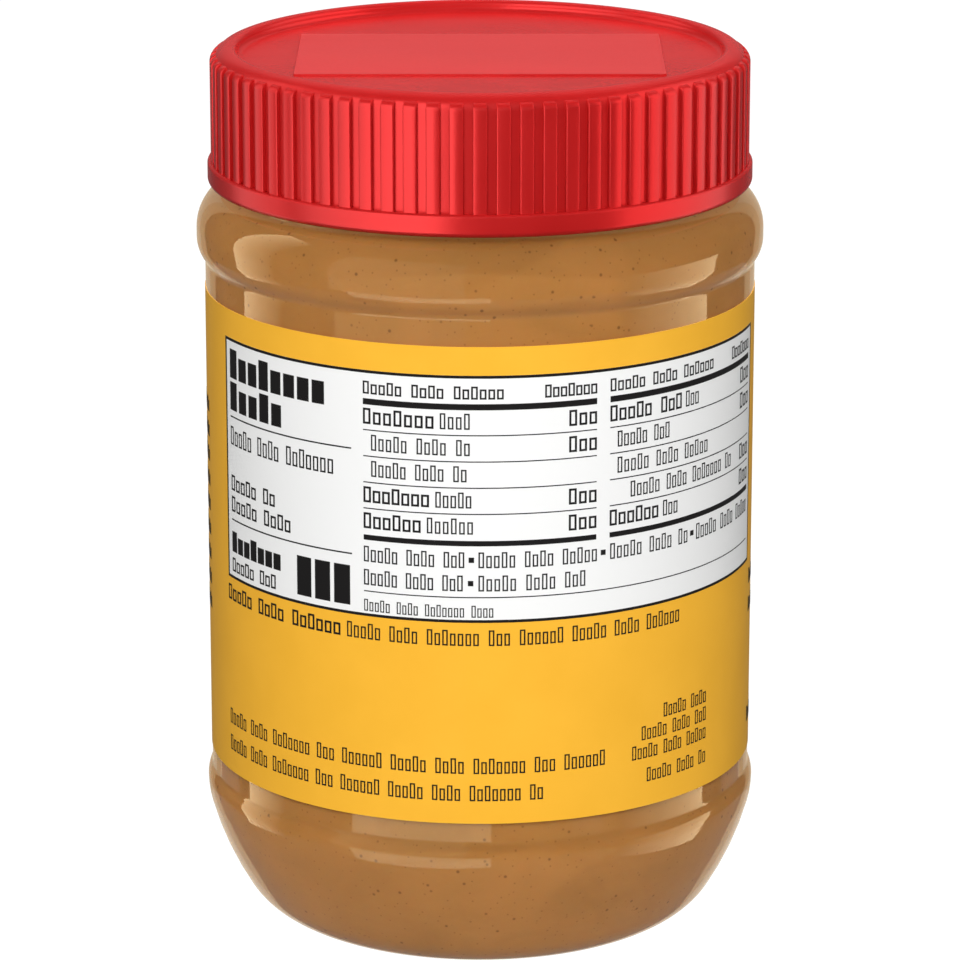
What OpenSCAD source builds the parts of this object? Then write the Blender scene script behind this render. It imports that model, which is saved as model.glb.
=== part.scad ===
// Round clear jar of peanut butter with a ribbed screw lid and a wrap-around label.
// Millimetres. Z is the jar's axis, z = 0 is the surface it stands on, and -Y is the front.

/* [Jar body] */
// Diameter of the straight label panel
panel_d = 72.8; // [60:0.1:90]
// Height of the straight label panel
panel_h = 69.3; // [66:0.1:120]
// Thickness of the blow-moulded wall
wall = 0.6; // [0.4:0.05:1]

/* [Heel] */
// Height of the widest line of the heel bulge
heel_z = 18.1; // [15:0.1:24]
// How far the heel bulge stands out from the panel
heel_proud = 0.6; // [0.3:0.05:1.2]
// Rounding of the heel bulge above its widest line
heel_top_r = 3.2; // [2.4:0.1:4.5]
// Rounding of the heel bulge below its widest line
heel_mid_r = 11; // [9:0.1:14]
// How far round the heel bulge goes before the long flank starts, in degrees
heel_turn = 15; // [12:0.5:18]
// Radius of the long flank of the heel
flank_r = 40.8; // [34:0.1:49]
// Radius of the turn from the flank to the underside
foot_r = 9; // [7:0.1:11]
// Width of the flat ring that the jar stands on
stand_w = 3; // [2:0.1:4]
// Height of the domed push-up inside the standing ring
pushup_h = 3.4; // [2:0.1:3.9]
// Hollow fillet where a bulge runs into the panel
fillet_r = 1.5; // [1:0.1:2]

/* [Shoulder and neck] */
// How far the shoulder bulge stands out from the panel
shoulder_proud = 1.1; // [0.6:0.05:1.6]
// Rounding of the shoulder bulge below its widest line
shoulder_low_r = 4; // [3:0.1:5]
// Height of the straight land at the widest line of the shoulder
shoulder_land = 1.2; // [0.5:0.1:3]
// Rounding of the shoulder from its widest line up to the neck
shoulder_top_r = 5.9; // [4.8:0.1:7]
// How far the outside of the neck is set in from the panel
neck_step = 3.8; // [3.2:0.1:4.6]
// Thickness of the neck's wall
neck_wall = 1.6; // [1.2:0.1:2]
// Height of the neck from the shoulder to the mouth
neck_h = 15.25; // [13:0.05:22]

/* [Screw thread] */
// Rise of the thread in one turn
thread_pitch = 4.2; // [3.6:0.1:5]
// Length of the jar's thread, in turns
thread_turns = 1.25; // [1:0.05:1.5]
// Height of the thread above the wall it stands on
thread_h = 1; // [0.7:0.05:1.2]
// Width of the thread at its root
thread_root = 2; // [1.6:0.1:2.2]
// Width of the thread at its crest
thread_crest = 1; // [0.6:0.1:1.2]
// Height of the thread's lower end above the foot of the neck
thread_start = 3.9; // [3.6:0.1:4.5]
// Clearance between a thread's crest and the wall it faces
thread_clear = 0.25; // [0.1:0.05:0.4]

/* [Lid] */
// Gap between the shoulder and the lower edge of the lid
lid_lift = 0.1; // [0.05:0.05:1]
// Thickness of the lid's skirt between its ribs
skirt_wall = 1.07; // [0.8:0.01:1.6]
// Gap between the jar's mouth and the underside of the lid
seal_gap = 0.05; // [0.02:0.01:0.2]
// Thickness of the lid's top
lid_top_t = 1.3; // [1:0.1:2]
// Height of the raised rim above the lid's top
rim_h = 1.5; // [1.4:0.1:2.5]
// Rounding of the rim's outer edge
rim_out_r = 2; // [1.5:0.1:2.4]
// Width of the level crown of the rim
rim_crown = 0.25; // [0.1:0.05:1]
// Rounding of the rim's inner edge
rim_in_r = 0.7; // [0.4:0.05:0.75]
// Height of the smooth band round the foot of the skirt
band_h = 3; // [2:0.1:5]
// How far the band stands out from the ribs
band_proud = 0.47; // [0.2:0.01:1]
// Rounding of the band's lower edge
band_low_r = 0.8; // [0.4:0.1:1]
// Rounding of the band's upper edge
band_top_r = 0.4; // [0.2:0.1:0.6]

/* [Grip ribs] */
// Number of ribs round the skirt
rib_count = 75; // [60:1:84]
// Width of a rib
rib_w = 1.78; // [1.2:0.02:1.9]
// Height of a rib above the skirt
rib_h = 0.55; // [0.3:0.05:0.9]
// Rounding of a rib's top end
rib_end_r = 1; // [0.6:0.1:1.2]
// How far the ribs stop below the crown of the rim
rib_drop = 0.9; // [0.7:0.1:1.5]

/* [Lid plaque] */
// Depth of the plain raised plaque on the lid, front to back
plaque_d = 28.3; // [16:0.1:34]
// Distance from the plaque's corners to the foot of the rim
plaque_margin = 3.3; // [2:0.1:8]
// Height of the plaque above the lid's top
plaque_t = 0.25; // [0.15:0.05:0.6]
// Rounding of the plaque's corners
plaque_r = 0.5; // [0.2:0.1:2]

/* [Label] */
// Height of the label
label_h = 63.5; // [40:0.1:64]
// Height of the label's lower edge above the foot of the panel
label_low = 2.5; // [1:0.1:2.6]
// Thickness of the label
label_t = 0.1; // [0.06:0.01:0.2]
// Angle that the label's ends lap over each other at the back, in degrees
label_lap = 14; // [6:1:24]

/* [Peanut butter] */
// Height of the fill above the foot of the neck
fill_above = 3.9; // [1:0.1:8]
// Gap between the fill and the jar's wall
fill_gap = 0.05; // [0.02:0.01:0.1]

/* [Hidden] */
round_fn = 180;    // segments in a full turn of a revolved shape
arc_tol = 0.02;    // largest distance between a rounded outline and its true arc
sink = 0.3;        // how far a rib, a thread or the plaque is rooted in what carries it

panel_r = panel_d / 2;
heel_r = panel_r + heel_proud;
shoulder_r = panel_r + shoulder_proud;

// Heel: the centres of its four tangent arcs and of the fillet above them
heel_top_c = [heel_r - heel_top_r, heel_z];
heel_mid_c = [heel_r - heel_mid_r, heel_z];
flank_c = heel_mid_c - (flank_r - heel_mid_r) * [cos(heel_turn), -sin(heel_turn)];
foot_x = flank_c[0] + sqrt(pow(flank_r - foot_r, 2) - pow(flank_c[1] - foot_r, 2));
foot_c = [foot_x, foot_r];
flank_end = -asin((flank_c[1] - foot_r) / (flank_r - foot_r));
low_fillet_c = fillet_centre(heel_top_c, heel_top_r, 1);
panel_z0 = low_fillet_c[1];
panel_z1 = panel_z0 + panel_h;

// Standing ring and the dome inside it
stand_in = foot_c[0] - stand_w;
dome_r = (pow(stand_in, 2) + pow(pushup_h, 2)) / (2 * pushup_h);

// Shoulder: its lower arc is placed so that its fillet ends at the top of the panel
shoulder_rise = sqrt(pow(shoulder_low_r + fillet_r, 2)
    - pow(fillet_r + shoulder_low_r - shoulder_proud, 2));
shoulder_z = panel_z1 + shoulder_rise;
shoulder_low_c = [shoulder_r - shoulder_low_r, shoulder_z];
shoulder_top_c = [shoulder_r - shoulder_top_r, shoulder_z + shoulder_land];
high_fillet_c = fillet_centre(shoulder_low_c, shoulder_low_r, -1);

// Neck, mouth and fill
neck_z = shoulder_top_c[1] + shoulder_top_r;
neck_r = panel_r - neck_step;
mouth_r = neck_r - neck_wall;
mouth_z = neck_z + neck_h;
fill_z = neck_z + fill_above;

// Lid: everything is built out from the neck and up from the mouth
lid_in_r = neck_r + thread_h + thread_clear;
skirt_r = lid_in_r + skirt_wall;
rib_r = skirt_r + rib_h;
band_r = rib_r + band_proud;
lid_z = neck_z + lid_lift;
band_z = lid_z + band_h;
under_z = mouth_z + seal_gap;
top_z = under_z + lid_top_t;
crown_z = top_z + rim_h;
rim_foot_r = rim_h - rim_in_r;
crown_in = skirt_r - rim_out_r - rim_crown;
recess_r = crown_in - rim_in_r - rim_foot_r;
rib_z = crown_z - rib_drop;
inner_corner = 0.8;
mouth_round = 0.3;

// Plaque: its corners keep their distance from the foot of the rim
plaque_w = 2 * sqrt(pow(recess_r - plaque_margin, 2) - pow(plaque_d / 2, 2));

// Centre of the fillet between the panel and a bulge's arc; side is 1 above the arc, -1 below it
function fillet_centre(c, r, side) =
    [panel_r + fillet_r,
     c[1] + side * sqrt(pow(r + fillet_r, 2) - pow(panel_r + fillet_r - c[0], 2))];

// Points along an arc round centre c, from angle a0 to angle a1
function arc(c, r, a0, a1) =
    let (step = 2 * acos(1 - arc_tol / r), n = max(1, ceil(abs(a1 - a0) / step)))
    [for (i = [0:n]) let (a = a0 + (a1 - a0) * i / n) c + r * [cos(a), sin(a)]];

// Direction from point p to point q
function bearing(p, q) = atan2(q[1] - p[1], q[0] - p[0]);

// The jar's outline from the middle of its base to the turn of its shoulder, moved inwards by inset
function body_outline(inset, shoulder_end) =
    let (
        dome = dome_r + inset,
        dome_c = [0, pushup_h - dome_r],
        dome_end = acos((inset - dome_c[1]) / dome),
        low = bearing(heel_top_c, low_fillet_c),
        high = bearing(shoulder_low_c, high_fillet_c)
    )
    concat(
        arc(dome_c, dome, 90, 90 - dome_end),
        arc(foot_c, foot_r - inset, -90, flank_end),
        arc(flank_c, flank_r - inset, flank_end, -heel_turn),
        arc(heel_mid_c, heel_mid_r - inset, -heel_turn, 0),
        arc(heel_top_c, heel_top_r - inset, 0, low),
        arc(low_fillet_c, fillet_r + inset, low + 180, 180),
        arc(high_fillet_c, fillet_r + inset, 180, high + 180),
        arc(shoulder_low_c, shoulder_low_r - inset, high, 0),
        arc(shoulder_top_c, shoulder_top_r - inset, 0, shoulder_end)
    );

// Drops points that repeat the one before them
function distinct(pts) =
    [for (i = [0:len(pts) - 1]) if (i == 0 || norm(pts[i] - pts[i - 1]) > 0.001) pts[i]];

function reversed(pts) = [for (i = [len(pts) - 1:-1:0]) pts[i]];

module revolve(pts) {
    rotate_extrude($fn = round_fn) polygon(distinct(pts));
}

// One helical thread that stands on a wall of radius r; out is 1 for outwards and -1 for inwards.
// Its height fades in and out over a sixth of a turn at each end.
module thread(r, out, z0, first, last) {
    step = 9;
    fade = 60;
    rings = floor((last - first) / step);
    low = 0.05;
    points = [for (i = [0:rings]) let (
            a = first + (last - first) * i / rings,
            f = max(low, min(1, (a - first) / fade, (last - a) / fade)),
            z = z0 + thread_pitch * a / 360,
            root = r - out * sink,
            crest = r + out * thread_h * f,
            half_crest = thread_crest / 2 + (thread_root - thread_crest) / 2 * (1 - f)
        ) each [
            [root * cos(a), root * sin(a), z - thread_root / 2],
            [crest * cos(a), crest * sin(a), z - half_crest],
            [crest * cos(a), crest * sin(a), z + half_crest],
            [root * cos(a), root * sin(a), z + thread_root / 2]
        ]];
    sides = [for (i = [0:rings - 1], k = [0:3]) let (m = (k + 1) % 4)
        [4 * i + k, 4 * i + 4 + k, 4 * i + 4 + m, 4 * i + m]];
    faces = concat(sides, [[0, 1, 2, 3]], [[for (k = [3:-1:0]) 4 * rings + k]]);
    polyhedron(points, out > 0 ? [for (f = faces) reversed(f)] : faces);
}

// Clear blow-moulded jar: thin wall, standing ring with a push-up, heel, panel, shoulder and neck
module jar() {
    turn = neck_r > shoulder_top_c[0] ? acos((neck_r - shoulder_top_c[0]) / shoulder_top_r) : 90;
    outside = concat(
        body_outline(0, turn),
        [[neck_r, neck_z - (neck_r > shoulder_top_c[0] ? shoulder_top_r * (1 - sin(turn)) : 0)]],
        arc([neck_r - mouth_round, mouth_z - mouth_round], mouth_round, 0, 90));
    inside = concat(
        body_outline(wall, 90),
        [[mouth_r, neck_z - wall]],
        reversed(arc([mouth_r + mouth_round, mouth_z - mouth_round], mouth_round, 90, 180)));
    color([0.86, 0.9, 0.92, 0.4]) {
        revolve(concat(outside, reversed(inside)));
        thread(neck_r, 1, neck_z + thread_start, 0, 360 * thread_turns);
    }
}

// Peanut butter: fills the jar from the base to a level inside the neck
module peanut_butter() {
    inset = wall + fill_gap;
    fill_r = mouth_r - fill_gap;
    color([0.68, 0.46, 0.24])
        revolve(concat(
            body_outline(inset, 90),
            [[fill_r, neck_z - inset], [fill_r, fill_z], [0, fill_z]]));
}

// The plain body of the lid: band, skirt, raised rim and recessed top, hollow inside
module lid_shell() {
    revolve(concat(
        [[lid_in_r, lid_z]],
        arc([band_r - band_low_r, lid_z + band_low_r], band_low_r, -90, 0),
        arc([band_r - band_top_r, band_z - band_top_r], band_top_r, 0, 90),
        [[skirt_r, band_z]],
        arc([skirt_r - rim_out_r, crown_z - rim_out_r], rim_out_r, 0, 90),
        arc([crown_in, crown_z - rim_in_r], rim_in_r, 90, 180),
        reversed(arc([recess_r, top_z + rim_foot_r], rim_foot_r, -90, 0)),
        [[0, top_z], [0, under_z]],
        arc([lid_in_r - inner_corner, under_z - inner_corner], inner_corner, 90, 0)));
}

// Upright grip ribs, one of them at the middle of the front. They are rooted in the skirt and in
// the rim's rounded edge, and their top ends are rounded.
module ribs() {
    rim_c = [skirt_r - rim_out_r, crown_z - rim_out_r];
    root = rim_out_r - sink;
    intersection() {
        translate([0, 0, band_z - sink])
            linear_extrude(rib_z - band_z + sink)
                for (i = [0:rib_count - 1])
                    rotate(-90 + i * 360 / rib_count)
                        translate([rim_c[0], -rib_w / 2])
                            square([band_r - rim_c[0], rib_w]);
        revolve(concat(
            [[skirt_r - sink, band_z - sink], [rib_r, band_z - sink]],
            arc([rib_r - rib_end_r, rib_z - rib_end_r], rib_end_r, 0, 90),
            reversed(arc(rim_c, root, 0, asin((rib_z - rim_c[1]) / root)))));
    }
}

// Plain raised plaque in the middle of the lid's top
module plaque() {
    translate([0, 0, top_z - sink])
        linear_extrude(plaque_t + sink)
            for (size = [[plaque_w, plaque_d - 2 * plaque_r], [plaque_w - 2 * plaque_r, plaque_d]])
                square(size, center = true);
    for (x = [-1, 1], y = [-1, 1])
        translate([x * (plaque_w / 2 - plaque_r), y * (plaque_d / 2 - plaque_r), top_z - sink])
            cylinder(r = plaque_r, h = plaque_t + sink, $fn = 32);
}

// Red moulded screw lid: its thread runs half a pitch below the jar's, which it hangs on
module lid() {
    lead = 30;
    color([0.85, 0.2, 0.2]) {
        lid_shell();
        ribs();
        plaque();
        thread(lid_in_r, -1, neck_z + thread_start - thread_pitch / 2, lead,
            360 * thread_turns + lead);
    }
}

// Printed wrap-around label, glued round the panel, with one end lapped over the other at the back
module label() {
    lap_ends = [90 - label_lap / 2, 90 + label_lap / 2];
    color([0.95, 0.72, 0.22])
        translate([0, 0, panel_z0 + label_low])
            linear_extrude(label_h)
                difference() {
                    union() {
                        circle(r = panel_r + label_t, $fn = round_fn);
                        intersection() {
                            circle(r = panel_r + 2 * label_t, $fn = round_fn);
                            polygon([[0, 0], for (a = lap_ends) panel_d * [cos(a), sin(a)]]);
                        }
                    }
                    circle(r = panel_r, $fn = round_fn);
                }
}

jar();
peanut_butter();
lid();
label();
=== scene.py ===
# A clear jar of peanut butter with a ribbed red screw lid and a printed wrap-around label.
# Metres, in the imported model's frame: Z is the jar's axis, the table is z = 0 and -Y is the front.
import math
import bmesh
import bpy
from mathutils import Matrix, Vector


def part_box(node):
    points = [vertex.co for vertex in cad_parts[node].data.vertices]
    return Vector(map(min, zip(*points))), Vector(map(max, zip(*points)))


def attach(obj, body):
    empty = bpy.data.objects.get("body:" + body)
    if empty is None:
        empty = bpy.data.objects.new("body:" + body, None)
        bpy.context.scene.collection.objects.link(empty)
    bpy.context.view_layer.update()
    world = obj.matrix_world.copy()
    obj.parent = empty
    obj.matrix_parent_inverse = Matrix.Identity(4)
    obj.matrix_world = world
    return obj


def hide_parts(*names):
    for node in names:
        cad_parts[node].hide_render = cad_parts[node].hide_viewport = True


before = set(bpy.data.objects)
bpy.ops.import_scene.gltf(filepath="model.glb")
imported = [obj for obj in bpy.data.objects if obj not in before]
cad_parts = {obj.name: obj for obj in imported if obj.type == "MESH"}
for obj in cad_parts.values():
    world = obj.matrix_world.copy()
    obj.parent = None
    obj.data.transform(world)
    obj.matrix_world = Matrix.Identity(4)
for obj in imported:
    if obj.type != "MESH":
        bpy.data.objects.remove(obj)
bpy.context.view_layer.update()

# ---- Clear jar ----------------------------------------------------------------------------
# One blow-moulded shell of clear PET with a thicker screw neck. It stands on a narrow ring
# round a shallow push-up, bulges at its heel and shoulder, and holds the label between them.
mm = 0.001
wall = 0.6 * mm
shoulder_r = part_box("jar")[1].x
mouth_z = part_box("jar")[1].z
panel_r = shoulder_r - 1.1 * mm
heel_r = panel_r + 0.6 * mm
heel_z = 18.1 * mm
neck_z = mouth_z - 15.25 * mm
neck_r = panel_r - 3.8 * mm
mouth_r = neck_r - 1.6 * mm
stand_w = 3 * mm
push_up = 3.4 * mm
round_steps = 288

# Radii of the outline's arcs, the height of the flat between the shoulder's two, and the angle
# in degrees at which the heel's middle meets its flank
heel_top, heel_mid, flank, foot = 3.2 * mm, 11 * mm, 40.8 * mm, 9 * mm
shoulder_low, shoulder_top, shoulder_flat, fillet = 4 * mm, 5.9 * mm, 1.2 * mm, 1.5 * mm
heel_turn = 15


def arc(centre, radius, first, last):
    """Points (r, z) along an arc. Angles are in degrees, 0 is outwards and 90 is up."""
    steps = max(2, math.ceil(abs(last - first) / 5))
    turns = [math.radians(first + (last - first) * i / steps) for i in range(steps + 1)]
    return [(centre[0] + radius * math.cos(a), centre[1] + radius * math.sin(a)) for a in turns]


def panel_fillet(centre, radius, side):
    """Centre of the hollow fillet between a bulge's arc and the panel, above or below the arc."""
    reach = panel_r + fillet - centre[0]
    return panel_r + fillet, centre[1] + side * math.sqrt((radius + fillet) ** 2 - reach ** 2)


def bearing(start, end):
    """Direction in degrees from one point (r, z) to another."""
    return math.degrees(math.atan2(end[1] - start[1], end[0] - start[0]))


def body_outline(inset):
    """The jar from the middle of its base to the foot of its neck, moved inwards by inset."""
    top_c = (heel_r - heel_top, heel_z)
    mid_c = (heel_r - heel_mid, heel_z)
    turn = math.radians(heel_turn)
    flank_c = (mid_c[0] - (flank - heel_mid) * math.cos(turn),
               mid_c[1] + (flank - heel_mid) * math.sin(turn))
    foot_x = flank_c[0] + math.sqrt((flank - foot) ** 2 - (flank_c[1] - foot) ** 2)
    flank_end = -math.degrees(math.asin((flank_c[1] - foot) / (flank - foot)))
    stand_in = foot_x - stand_w
    dome = (stand_in ** 2 + push_up ** 2) / (2 * push_up)
    dome_end = math.degrees(math.acos((inset + dome - push_up) / (dome + inset)))
    low_c = panel_fillet(top_c, heel_top, 1)
    upper_c = (shoulder_r - shoulder_top, neck_z - shoulder_top)
    lower_c = (shoulder_r - shoulder_low, upper_c[1] - shoulder_flat)
    high_c = panel_fillet(lower_c, shoulder_low, -1)
    low, high = bearing(top_c, low_c), bearing(lower_c, high_c)
    return (arc((0, push_up - dome), dome + inset, 90, 90 - dome_end)
            + arc((foot_x, foot), foot - inset, -90, flank_end)
            + arc(flank_c, flank - inset, flank_end, -heel_turn)
            + arc(mid_c, heel_mid - inset, -heel_turn, 0)
            + arc(top_c, heel_top - inset, 0, low)
            + arc(low_c, fillet + inset, low + 180, 180)
            + arc(high_c, fillet + inset, 180, high + 180)
            + arc(lower_c, shoulder_low - inset, high, 0)
            + arc(upper_c, shoulder_top - inset, 0, 90))


def revolve(bm, points):
    """Spins a profile of (r, z) points round the jar's axis and closes its poles."""
    ring = [bm.verts.new((r, 0, z)) for r, z in points]
    chain = [bm.edges.new(pair) for pair in zip(ring, ring[1:])]
    bmesh.ops.spin(bm, geom=ring + chain, axis=(0, 0, 1), cent=(0, 0, 0), angle=math.tau,
                   steps=round_steps, use_merge=True)
    bmesh.ops.remove_doubles(bm, verts=bm.verts, dist=0.002 * mm)


def screw(bm, radius, out, start_z, first, turns):
    """One screw thread of a 4.2 mm pitch that stands on a wall, outwards or inwards."""
    pitch, depth, sink, steps = 4.2 * mm, 1 * mm, 0.3 * mm, round(turns * 72)
    section = [(-sink, -1 * mm), (depth, -0.5 * mm), (depth, 0.5 * mm), (-sink, 1 * mm)]
    ring = [bm.verts.new((radius + out * reach, 0, start_z + rise)) for reach, rise in section]
    loop = [bm.edges.new((ring[i - 1], ring[i])) for i in range(4)]
    bmesh.ops.rotate(bm, verts=ring, cent=(0, 0, 0), matrix=Matrix.Rotation(first, 3, "Z"))
    bmesh.ops.spin(bm, geom=ring + loop, axis=(0, 0, 1), cent=(0, 0, 0), angle=turns * math.tau,
                   dvec=(0, 0, pitch * turns / steps), steps=steps)
    bmesh.ops.holes_fill(bm, edges=[e for e in bm.edges if e.is_boundary], sides=4)


def place(bm, name, material, sharp=40):
    """Makes the mesh a piece at the origin, smooth but for edges sharper than an angle."""
    bmesh.ops.recalc_face_normals(bm, faces=bm.faces)
    mesh = bpy.data.meshes.new(name)
    bm.to_mesh(mesh)
    bm.free()
    mesh.shade_smooth()
    mesh.set_sharp_from_angle(angle=math.radians(sharp))
    mesh.materials.append(material)
    piece = bpy.data.objects.new(name, mesh)
    bpy.context.scene.collection.objects.link(piece)
    return piece


def finish(name, **sockets):
    """A material and its shader. Constants are set on the shader's own sockets."""
    material = bpy.data.materials.new(name)
    material.use_nodes = True
    shader = material.node_tree.nodes["Principled BSDF"]
    for socket, value in sockets.items():
        shader.inputs[socket.replace("_", " ")].default_value = value
    return material, shader


def texture(material, kind, scale, stretch=(1, 1, 1), **settings):
    """A texture node on Object coordinates, in features per metre."""
    nodes, links = material.node_tree.nodes, material.node_tree.links
    place_on = nodes.new("ShaderNodeMapping")
    place_on.inputs["Scale"].default_value = stretch
    links.new(nodes.new("ShaderNodeTexCoord").outputs["Object"], place_on.inputs["Vector"])
    pattern = nodes.new(kind)
    pattern.inputs["Scale"].default_value = scale
    for socket, value in settings.items():
        pattern.inputs[socket].default_value = value
    links.new(place_on.outputs["Vector"], pattern.inputs["Vector"])
    return pattern


def ramp(material, value, first, last, low, high):
    """Maps a value from first..last to low..high, clamped."""
    nodes, links = material.node_tree.nodes, material.node_tree.links
    mapped = nodes.new("ShaderNodeMapRange")
    for socket, number in zip(("From Min", "From Max", "To Min", "To Max"), (first, last, low, high)):
        mapped.inputs[socket].default_value = number
    links.new(value, mapped.inputs["Value"])
    return mapped.outputs["Result"]


def blend(material, factor, first, second):
    """Mixes two colours; each is a colour or another node's output."""
    nodes, links = material.node_tree.nodes, material.node_tree.links
    mix = nodes.new("ShaderNodeMix")
    mix.data_type = "RGBA"
    links.new(factor, mix.inputs["Factor"])
    for socket, colour in ((6, first), (7, second)):
        if isinstance(colour, tuple):
            mix.inputs[socket].default_value = (*colour, 1)
        else:
            links.new(colour, mix.inputs[socket])
    return mix.outputs[2]


def bump(material, shader, height, depth, strength=1):
    """Relief of a height from 0 to 1, depth metres deep."""
    nodes, links = material.node_tree.nodes, material.node_tree.links
    relief = nodes.new("ShaderNodeBump")
    relief.inputs["Strength"].default_value = strength
    relief.inputs["Distance"].default_value = depth
    links.new(height, relief.inputs["Height"])
    links.new(relief.outputs["Normal"], shader.inputs["Normal"])


clear_pet, shader = finish("clear_pet", Roughness=0.04, IOR=1.5, Transmission_Weight=1)
waves = texture(clear_pet, "ShaderNodeTexNoise", 45, stretch=(1, 1, 0.5), Detail=1)
bump(clear_pet, shader, waves.outputs["Fac"], 0.05 * mm)

bm = bmesh.new()
lip = 0.3 * mm
outside = body_outline(0) + [(neck_r, neck_z)] + arc((neck_r - lip, mouth_z - lip), lip, 0, 90)
inside = body_outline(wall) + [(mouth_r, neck_z - wall)]
inside += reversed(arc((mouth_r + lip, mouth_z - lip), lip, 90, 180))
revolve(bm, outside + inside[::-1])
screw(bm, neck_r, 1, neck_z + 3.9 * mm, 0, 1.25)
jar_wall = place(bm, "jar_wall", clear_pet)
jar_wall.visible_shadow = False
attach(jar_wall, "root")
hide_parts("jar")

# ---- Peanut butter ------------------------------------------------------------------------
# Smooth brown peanut butter that fills the jar. It takes the jar's own shape and reaches a
# little into the wall, so no air shows between them. Flecks of peanut skin are ground into it.
fill_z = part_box("peanut_butter")[1].z
into_wall = 0.15 * mm
nut_light = (0.435, 0.207, 0.058)
nut_dark = (0.375, 0.182, 0.049)
skin = (0.10, 0.040, 0.012)

nut, shader = finish("peanut_butter", Roughness=0.5, Specular_IOR_Level=0.05, Subsurface_Weight=0.6,
                     Subsurface_Radius=(1.0, 0.55, 0.25), Subsurface_Scale=4 * mm)
cloud = texture(nut, "ShaderNodeTexNoise", 75, stretch=(1, 1, 1.6), Detail=5, Roughness=0.6, Distortion=0.6)
grain = texture(nut, "ShaderNodeTexNoise", 1100, Detail=3)
fleck = texture(nut, "ShaderNodeTexVoronoi", 450)
dust = texture(nut, "ShaderNodeTexVoronoi", 950)
colour = blend(nut, ramp(nut, cloud.outputs["Fac"], 0.3, 0.7, 0, 1), nut_dark, nut_light)
colour = blend(nut, ramp(nut, grain.outputs["Fac"], 0.55, 0.8, 0, 0.35), colour, nut_light)
colour = blend(nut, ramp(nut, dust.outputs["Distance"], 0.07, 0.16, 0.4, 0), colour, skin)
colour = blend(nut, ramp(nut, fleck.outputs["Distance"], 0.06, 0.13, 0.65, 0), colour, skin)
nut.node_tree.links.new(colour, shader.inputs["Base Color"])
bump(nut, shader, grain.outputs["Fac"], 0.02 * mm)

bm = bmesh.new()
fill_r = mouth_r + into_wall
revolve(bm, body_outline(wall - into_wall)
        + [(fill_r, neck_z - wall), (fill_r, fill_z - 0.4 * mm), (fill_r - 0.4 * mm, fill_z), (0, fill_z)])
peanut_core = place(bm, "peanut_core", nut)
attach(peanut_core, "root")
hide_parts("peanut_butter")

# ---- Label --------------------------------------------------------------------------------
# One strip of yellow printed film, wrapped round the panel and glued, with its last end over
# its first at the back. Its sheet is drawn flat, x along it and y up it, and then wrapped.
label_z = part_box("label")[0].z
label_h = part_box("label")[1].z - label_z
film = 0.1 * mm
label_r = panel_r + film
lap = math.radians(14)
facet_w = 1.2 * mm


def film_finish(name, **sockets):
    """A semi-gloss finish of the label, with the fine grain of its film."""
    material, shader = finish(name, IOR=1.48, **sockets)
    fibre = texture(material, "ShaderNodeTexNoise", 1600, Detail=2)
    bump(material, shader, fibre.outputs["Fac"], 0.004 * mm)
    return material, shader


yellow, shader = film_finish("label_film", Roughness=0.42)
mottle = texture(yellow, "ShaderNodeTexNoise", 120, Detail=3)
colour = blend(yellow, ramp(yellow, mottle.outputs["Fac"], 0.35, 0.65, 0, 1),
               (0.93, 0.470, 0.033), (0.96, 0.490, 0.037))
yellow.node_tree.links.new(colour, shader.inputs["Base Color"])


def strip(bm, left, right, low, high, lift):
    """A flat strip of the label, cut fine enough along x to wrap round."""
    spot = Matrix.Translation(((left + right) / 2, (low + high) / 2, lift))
    size = Matrix.Diagonal((right - left, high - low, 1, 1))
    facets = max(1, math.ceil((right - left) / facet_w))
    made = bmesh.ops.create_grid(bm, x_segments=facets, y_segments=1, size=0.5, matrix=spot @ size)
    return {face for v in made["verts"] for face in v.link_faces}


def wrap(bm, thickness):
    """Gives the flat strips their thickness and wraps them round the panel."""
    bmesh.ops.recalc_face_normals(bm, faces=bm.faces)
    bmesh.ops.solidify(bm, geom=bm.faces[:], thickness=thickness)
    for v in bm.verts:
        turn, reach = v.co.x / label_r, label_r + v.co.z
        v.co = (reach * math.sin(turn), -reach * math.cos(turn), label_z + v.co.y)


bm = bmesh.new()
half_turn = math.pi * label_r
half_lap = lap / 2 * label_r
strip(bm, -half_turn - half_lap, half_turn + half_lap, 0, label_h, -0.01 * mm)
# The last end climbs over the first just before the lap
for v in bm.verts:
    climb = (v.co.x - (half_turn - 3 * half_lap)) / (2 * half_lap)
    v.co.z += film * min(1, max(0, climb)) ** 2 if v.co.x > 0 else 0
wrap(bm, 0.09 * mm)
label_wrap = place(bm, "label_wrap", yellow)
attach(label_wrap, "root")
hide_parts("label")

# ---- Print on the label -------------------------------------------------------------------
# A white table with a thin black frame, and rows of small open boxes in place of all words. It
# is ink on the film, so each field is a very thin layer. Lengths are in mm on the flat label.
white_ink = film_finish("white_ink", Base_Color=(0.91, 0.91, 0.90, 1), Roughness=0.42)[0]
black_ink = film_finish("black_ink", Base_Color=(0.012, 0.011, 0.011, 1), Roughness=0.38)[0]

table_left, table_right, table_low, table_top = -41.5, 49.2, 27.2, 59.8
frame_w = 0.38
bm = bmesh.new()
strip(bm, table_left * mm, table_right * mm, table_low * mm, table_top * mm, 0.004 * mm)
wrap(bm, 0.012 * mm)
label_table = place(bm, "label_table", white_ink)
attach(label_table, "root")

ink = bmesh.new()


def bar(left, right, low, high):
    """A filled field of black ink."""
    return strip(ink, left * mm, right * mm, low * mm, high * mm, 0.018 * mm)


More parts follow.
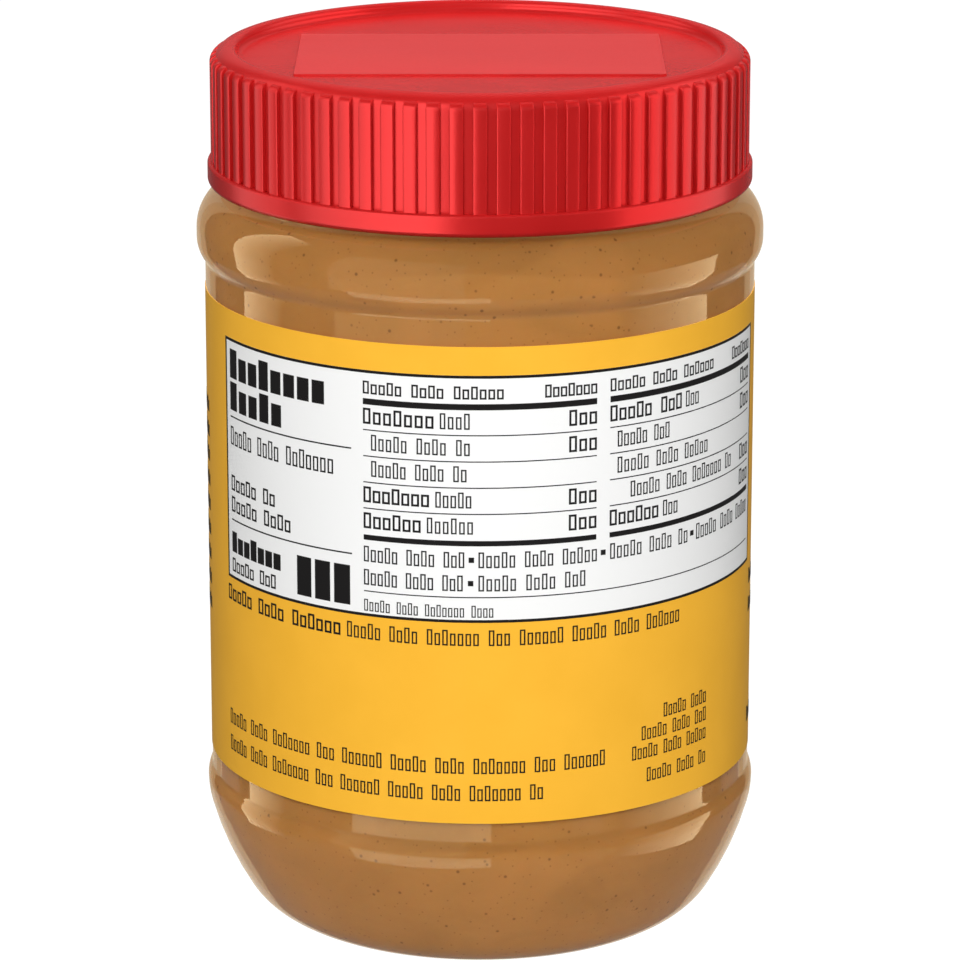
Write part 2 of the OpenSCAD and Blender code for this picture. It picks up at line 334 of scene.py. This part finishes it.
def words(left, right, low, high, heavy=False, groups=(5, 4, 7, 3, 6)):
    """A row of small open boxes in groups, where words stand between left and right. The first of
    a group and every fifth box are tall, the others low. A gap between groups is one box wide."""
    height = high - low
    stroke = height * (0.19 if heavy else 0.13)
    width = height * (0.50 if heavy else 0.34)
    step = width + height * 0.13
    count = max(1, round((right - left - width) / step) + 1)
    step = (right - left - width) / max(1, count - 1)
    gap, group, boxes = groups[0], 0, []
    for i in range(count):
        if i == gap and i < count - 2:
            group += 1
            gap += groups[group % len(groups)] + 1
            continue
        first = gap - groups[group % len(groups)]
        tall = i in (0, first) or i % 5 == 3
        x = left + i * step
        boxes += bar(x, x + width, low, low + height * (1 if tall else 0.78))
    bmesh.ops.inset_individual(ink, faces=boxes, thickness=stroke * mm)
    bmesh.ops.delete(ink, geom=boxes, context="FACES")


# The frame of the table
bar(table_left, table_right, table_top - frame_w, table_top)
bar(table_left, table_right, table_low, table_low + frame_w)
bar(table_left, table_left + frame_w, table_low, table_top)
bar(table_right - frame_w, table_right, table_low, table_top)

# Its left column: a title of two heavy rows, smaller rows, two thin rules and three solid blocks
left = table_left + 1.4
words(left, -21.0, 54.5, 58.4, heavy=True, groups=(12,))
words(left, -28.3, 50.2, 54.0, heavy=True, groups=(12,))
words(left, -19.7, 45.5, 48.0)
words(left, -29.7, 39.3, 41.4, heavy=True)
words(left, -26.8, 36.4, 38.5, heavy=True)
words(left, -28.7, 30.9, 33.7, heavy=True)
words(left, -29.7, 28.2, 30.1, heavy=True)
for low in (35.2, 49.2):
    bar(left, -17.0, low, low + 0.2)
for i in range(3):
    bar(-25.7 + 3 * i, -23.3 + 3 * i, 28.4, 33.7)

# Its two wide columns: a heading, a heavy rule, five rows with thin rules, a heavy rule.
# A row holds its start, the end of its heavy words, the end of its light words, all from the
# column's left, and whether it has a value.
row_h = 3.45
columns = (
    (-15.3, 15.3, ((0, 9.4, 14.0, True), (1.1, 1.1, 14.0, True), (1.1, 1.1, 13.6, False),
                   (0, 8.8, 14.2, True), (0, 7.7, 14.4, True))),
    (17.2, 47.7, ((0, 11.6, 15.0, True), (1.1, 1.1, 9.4, True), (1.1, 1.1, 17.1, False),
                  (3.1, 3.1, 23.5, True), (0, 7.6, 11.0, True))),
)
for left, right, rows in columns:
    words(left, left + 18.3, 56.7, 58.4, heavy=True)
    words(right - 7, right, 56.7, 58.4, heavy=True)
    bar(left, right, 55.3, 56.1)
    bar(left, right, 37.4, 38.1)
    for i, (start, heavy_end, light_end, value) in enumerate(rows):
        low = 52.75 - i * row_h
        if heavy_end > start:
            words(left + start, left + heavy_end, low, low + 2.1, heavy=True)
        if light_end > heavy_end:
            words(left + heavy_end + (0.8 if heavy_end > start else 0), left + light_end, low, low + 2.1)
        if value:
            words(right - 3.8, right, low, low + 2.1, heavy=True)
        if i < len(rows) - 1:
            bar(left, right, low - 0.85, low - 0.7)

# Its foot: two light rows with square stops, a thin rule and a small row
for start, end in ((-15.3, -2.0), (-0.2, 15.4), (17.3, 30.2), (32.0, 47.4)):
    words(start, end, 34.5, 36.6)
for start, end in ((-15.3, -2.2), (-0.2, 13.8)):
    words(start, end, 31.4, 33.5)
for x, low in ((-1.1, 35.2), (16.3, 35.2), (31.1, 35.2), (-1.2, 32.1)):
    bar(x - 0.35, x + 0.35, low, low + 0.7)
bar(-15.3, 47.7, 30.5, 30.65)
words(-15.3, 1.7, 27.9, 29.5)

# Rows on the yellow, below the table and beside it
words(table_left, -18.8, 24.1, 26.2, heavy=True)
words(-17.8, 28.75, 24.1, 26.2)
words(table_left, 16.75, 6.8, 8.9)
words(table_left, 8.2, 3.1, 5.2)
for low, start in ((11.6, 26.1), (9.1, 22.4), (6.6, 20.9), (3.3, 23.3)):
    words(start, 34.7, low, low + 1.9)
for low in (4.0, 19.5, 23.5):
    words(50.5, 64.0, low, low + 2.1)
for i in range(9):
    words(-64.0, -50.5, 20 + 3.4 * i, 22 + 3.4 * i)
wrap(ink, 0.012 * mm)
label_ink = place(ink, "label_ink", black_ink)
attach(label_ink, "root")

# ---- Lid ----------------------------------------------------------------------------------
# One injection-moulded screw lid of red polypropylene: a smooth band at its foot, 75 upright
# grip ribs, a round raised rim and a recessed top with a plain plaque. It screws on the neck.
lid_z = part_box("lid")[0].z
crown_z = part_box("lid")[1].z
lid_in_r = neck_r + 1.25 * mm
skirt_r = lid_in_r + 1.07 * mm
rib_r = skirt_r + 0.55 * mm
band_r = rib_r + 0.47 * mm
band_z = lid_z + 3 * mm
top_z = crown_z - 1.5 * mm
under_z = top_z - 1.3 * mm
rim_round, rim_in = 2 * mm, 0.7 * mm
rim_c = (skirt_r - rim_round, crown_z - rim_round)
crown_in = rim_c[0] - 0.25 * mm
recess_r = crown_in - 1.5 * mm
rib_count = 75
rib_w = 1.78 * mm
rib_z = crown_z - 0.9 * mm
rib_end = 1 * mm

red, shader = finish("red_plastic", Roughness=0.27, IOR=1.6, Specular_IOR_Level=1,
                     Specular_Tint=(1, 0.10, 0.10, 1))
tone = texture(red, "ShaderNodeTexNoise", 90, Detail=2)
drawn = texture(red, "ShaderNodeTexNoise", 1400, stretch=(1, 1, 0.02), Detail=2)
sand = texture(red, "ShaderNodeTexNoise", 2500, Detail=2)
colour = blend(red, ramp(red, tone.outputs["Fac"], 0.35, 0.65, 0, 1),
               (0.395, 0.0095, 0.0095), (0.425, 0.0115, 0.0115))
red.node_tree.links.new(colour, shader.inputs["Base Color"])
height = red.node_tree.nodes.new("ShaderNodeMath")
height.operation = "ADD"
red.node_tree.links.new(drawn.outputs["Fac"], height.inputs[0])
red.node_tree.links.new(sand.outputs["Fac"], height.inputs[1])
bump(red, shader, height.outputs["Value"], 0.006 * mm)

red_satin, shader = finish("red_satin", Roughness=0.45, IOR=1.5, Specular_Tint=(1, 0.3, 0.3, 1))
sand = texture(red_satin, "ShaderNodeTexNoise", 2500, Detail=2)
colour = blend(red_satin, ramp(red_satin, sand.outputs["Fac"], 0.3, 0.7, 0, 1),
               (0.400, 0.022, 0.022), (0.430, 0.026, 0.026))
red_satin.node_tree.links.new(colour, shader.inputs["Base Color"])
bump(red_satin, shader, sand.outputs["Fac"], 0.006 * mm)

# A rib is the outline of its side drawn out to its width, with its outer edges eased, and
# repeated round the lid. Its root is sunk in the skirt and its top slopes into the rim.
bm = bmesh.new()
sink = 0.3 * mm
side = ([(skirt_r - sink, band_z - sink), (rib_r, band_z - sink)]
        + arc((rib_r - rib_end, rib_z - rib_end), rib_end, 0, 90)
        + [(rim_c[0] + 1.1 * mm, rib_z - 0.3 * mm), (skirt_r - sink, rim_c[1])])
cheek = bm.faces.new([bm.verts.new((r, -rib_w / 2, z)) for r, z in side])
grown = bmesh.ops.extrude_face_region(bm, geom=[cheek])["geom"]
bmesh.ops.translate(bm, verts=[g for g in grown if isinstance(g, bmesh.types.BMVert)], vec=(0, rib_w, 0))
outer = [e for e in bm.edges if abs(e.verts[0].co.y - e.verts[1].co.y) < rib_w / 2
         and all(v.co.x > skirt_r - 0.6 * mm and v.co.z > band_z - 2 * sink for v in e.verts)]
bmesh.ops.bevel(bm, geom=outer, offset=0.16 * mm, affect="EDGES", segments=3, profile=0.5, material=-1)
bmesh.ops.rotate(bm, verts=bm.verts, cent=(0, 0, 0), matrix=Matrix.Rotation(math.radians(-90), 3, "Z"))
bmesh.ops.spin(bm, geom=bm.verts[:] + bm.edges[:] + bm.faces[:], axis=(0, 0, 1), cent=(0, 0, 0),
               use_duplicate=True, angle=math.tau * (rib_count - 1) / rib_count, steps=rib_count - 1)

# The plain body: band, skirt, raised rim and recessed top, hollow inside
corner = 0.8 * mm
revolve(bm, [(0, under_z)]
        + arc((lid_in_r - corner, under_z - corner), corner, 90, 0)
        + [(lid_in_r, lid_z)]
        + arc((band_r - 0.8 * mm, lid_z + 0.8 * mm), 0.8 * mm, -90, 0)
        + arc((band_r - 0.4 * mm, band_z - 0.4 * mm), 0.4 * mm, 0, 90)
        + [(skirt_r, band_z)]
        + arc(rim_c, rim_round, 0, 90)
        + arc((crown_in, crown_z - rim_in), rim_in, 90, 180)
        + arc((recess_r, top_z + 0.8 * mm), 0.8 * mm, 0, -90)
        + [(0, top_z)])

# The plaque, rounded at its corners, eased round its top and left satin there. Its root is sunk
# in the recessed top.
plaque_d, plaque_t = 28.3 * mm, 0.25 * mm
plaque_z, flat = top_z + plaque_t, 1e-7
plaque_w = 2 * math.sqrt((recess_r - 3.3 * mm) ** 2 - (plaque_d / 2) ** 2)
made = bmesh.ops.create_cube(bm, size=1, matrix=Matrix.Translation((0, 0, top_z + (plaque_t - sink) / 2))
                             @ Matrix.Diagonal((plaque_w, plaque_d, plaque_t + sink, 1)))
upright = [e for e in {e for v in made["verts"] for e in v.link_edges}
           if abs(e.verts[0].co.z - e.verts[1].co.z) > sink / 2]
bmesh.ops.bevel(bm, geom=upright, offset=0.5 * mm, affect="EDGES", segments=5, profile=0.5, material=-1)
top_edges = [e for e in bm.edges if all(abs(v.co.z - plaque_z) < flat for v in e.verts)
             and all(abs(v.co.x) < plaque_w for v in e.verts)]
bmesh.ops.bevel(bm, geom=top_edges, offset=0.08 * mm, affect="EDGES", segments=2, profile=0.5, material=-1)
for face in bm.faces:
    middle = face.calc_center_median()
    level = abs(middle.z - plaque_z) < flat
    if level and abs(middle.x) < 1 * mm and face.calc_area() > plaque_w * plaque_d / 2:
        face.material_index = 1
screw(bm, lid_in_r, -1, neck_z + 1.8 * mm, math.radians(30), 1.25)
lid_cap = place(bm, "lid_cap", red, sharp=50)
lid_cap.data.materials.append(red_satin)
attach(lid_cap, "root")
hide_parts("lid")

# ---- Floor, light and camera --------------------------------------------------------------
# A white floor that glows like the sky behind it, soft boxes round the jar, some for its gloss
# and some for its shading, and a long lens that looks a little down on the front.
scene = bpy.context.scene
floor_paint, shader = finish("floor_paint", Roughness=0.9, Specular_IOR_Level=0,
                             Emission_Color=(1, 1, 1, 1), Emission_Strength=1)
grit = texture(floor_paint, "ShaderNodeTexNoise", 6, Detail=2)
colour = blend(floor_paint, grit.outputs["Fac"], (0.10, 0.10, 0.10), (0.12, 0.12, 0.12))
floor_paint.node_tree.links.new(colour, shader.inputs["Base Color"])
bm = bmesh.new()
bmesh.ops.create_circle(bm, cap_ends=True, segments=96, radius=6)
floor = place(bm, "floor", floor_paint)
floor.visible_glossy = floor.visible_diffuse = False

world = bpy.data.worlds.new("studio")
scene.world = world
world.use_nodes = True
nodes, links = world.node_tree.nodes, world.node_tree.links
sky = nodes["Background"]
sky.inputs["Color"].default_value = (1, 1, 1, 1)
path = nodes.new("ShaderNodeLightPath")


def node_math(operation, *values):
    """A maths node of the sky; each value is a number or another node's output."""
    node = nodes.new("ShaderNodeMath")
    node.operation = operation
    for socket, value in zip(node.inputs, values):
        if isinstance(value, (int, float)):
            socket.default_value = value
        else:
            links.new(value, socket)
    return node.outputs["Value"]


# White to the eye and through the clear wall, dim for the shading and dimmer for the gloss
unlit = node_math("LESS_THAN", path.outputs["Diffuse Depth"], 0.5)
through = node_math("MULTIPLY", path.outputs["Is Transmission Ray"], unlit)
seen = node_math("MAXIMUM", path.outputs["Is Camera Ray"], through)
dim = node_math("MULTIPLY_ADD", path.outputs["Is Glossy Ray"], -0.07, 0.15)
links.new(node_math("MAXIMUM", seen, dim), sky.inputs["Strength"])


def lamp_box(name, place, turn, size, radiance, colour, only):
    """A soft box in its place, for every piece or for a few only. The camera doesn't see it."""
    lamp = bpy.data.lights.new(name, "AREA")
    lamp.shape, lamp.color = "RECTANGLE", colour
    lamp.size, lamp.size_y = size
    lamp.energy = radiance * math.pi * size[0] * size[1]
    box = bpy.data.objects.new(name, lamp)
    box.location, box.rotation_euler = place, turn
    box.visible_camera = box.visible_transmission = False
    scene.collection.objects.link(box)
    if only:
        lit = bpy.data.collections.new(name)
        for piece in only:
            lit.objects.link(piece)
        box.light_linking.receiver_collection = box.light_linking.blocker_collection = lit
    return box


def gloss_box(name, azimuth, width, low, high, radiance, ends=(1, 1), distance=0.8,
              colour=(1, 1, 1), only=()):
    """An upright soft box that shows only as a reflection. Azimuth 0 is the camera's side and 90
    is +X. Its light may fade from one upright edge to the other."""
    turn = math.radians(azimuth)
    box = lamp_box(name, (distance * math.sin(turn), -distance * math.cos(turn), (low + high) / 2),
                   (math.radians(90), 0, turn), (width, high - low), radiance, colour, only)
    box.visible_diffuse = False
    box.data.use_nodes = True
    nodes, links = box.data.node_tree.nodes, box.data.node_tree.links
    split = nodes.new("ShaderNodeSeparateXYZ")
    fade = nodes.new("ShaderNodeMapRange")
    fade.inputs["To Min"].default_value, fade.inputs["To Max"].default_value = ends
    links.new(nodes.new("ShaderNodeNewGeometry").outputs["Parametric"], split.inputs["Vector"])
    links.new(split.outputs["X"], fade.inputs["Value"])
    links.new(fade.outputs["Result"], nodes["Emission"].inputs["Strength"])


def fill_box(name, azimuth, elevation, distance, size, radiance, only=()):
    """A large soft box that lights a surface evenly and leaves no reflection."""
    turn, rise = math.radians(azimuth), math.radians(elevation)
    level = distance * math.cos(rise)
    box = lamp_box(name, (level * math.sin(turn), -level * math.cos(turn), 0.06 + distance * math.sin(rise)),
                   (math.radians(90) - rise, 0, turn), (size, size), radiance, (1, 1, 1), only)
    box.visible_glossy = False
    return box


# The boxes for gloss come first, most of them for one piece only. The clear wall's are tinted
# warm and the lid's side ones rosy. The fills after them light the surfaces and leave no gloss.
warm, rosy = (1, 0.78, 0.46), (1, 0.42, 0.42)
body, core, cap = (jar_wall,), (peanut_core,), (lid_cap,)
gloss_box("key", -34, 0.85, -0.17, 0.9, 1.2, (0.7, 0.5), colour=warm, only=body)
gloss_box("low_key", -25, 0.90, -0.5, -0.17, 3.4, (0.6, 0.6), colour=(1, 0.90, 0.60), only=body)
gloss_box("left_strip", -102, 0.34, -0.32, 0.9, 4.2, (1, 0.1), colour=warm, only=body)
gloss_box("right_box", 84, 0.70, -0.5, 0.03, 4.5, (0.02, 1), colour=warm, only=body)
gloss_box("rim_wall", 180, 1.40, -0.8, 1.6, 0.50, distance=1.0, colour=warm, only=body)
gloss_box("back_wall", 180, 0.95, -0.8, 1.6, 0.10, distance=1.0)
gloss_box("lid_key", -46, 1.00, -0.6, 0.9, 7.2, (0.28, 1), only=cap)
gloss_box("lid_left", -104, 0.50, -0.6, 0.9, 2.4, colour=rosy, only=cap)
gloss_box("lid_right", 92, 1.00, -0.6, 0.9, 5.0, (1, 0.4), colour=rosy, only=cap)
glow = lamp_box("floor_glow", (0, 0, -0.45), (math.radians(180), 0, 0), (2.4, 2.4), 0.20, (1, 1, 1), body)
glow.visible_diffuse = False
fill_box("front_fill", 0, 28, 1.2, 0.9, 5.0)
for side in (-1, 1):
    fill_box(f"side_fill_{side}", 58 * side, 28, 1.2, 0.9, 2.2)
    fill_box(f"core_rear_{side}", 145 * side, 10, 1.0, 0.8, 2.4, only=core)
fill_box("label_rear", 180, 28, 1.2, 0.9, 4.5, only=(label_wrap, label_table, label_ink))
fill_box("lid_top", 180, 50, 1.1, 1.2, 5.2, only=cap)

look_down = math.radians(15.7)
lens = bpy.data.cameras.new("camera")
lens.lens, lens.sensor_width = 184.81, 36
lens.clip_end = 50
camera = bpy.data.objects.new("camera", lens)
camera.location = (0, -0.637695, 0.238058)
camera.rotation_euler = (math.radians(90) - look_down, 0, 0)
scene.collection.objects.link(camera)
scene.camera = camera
scene.view_settings.view_transform = "Standard"
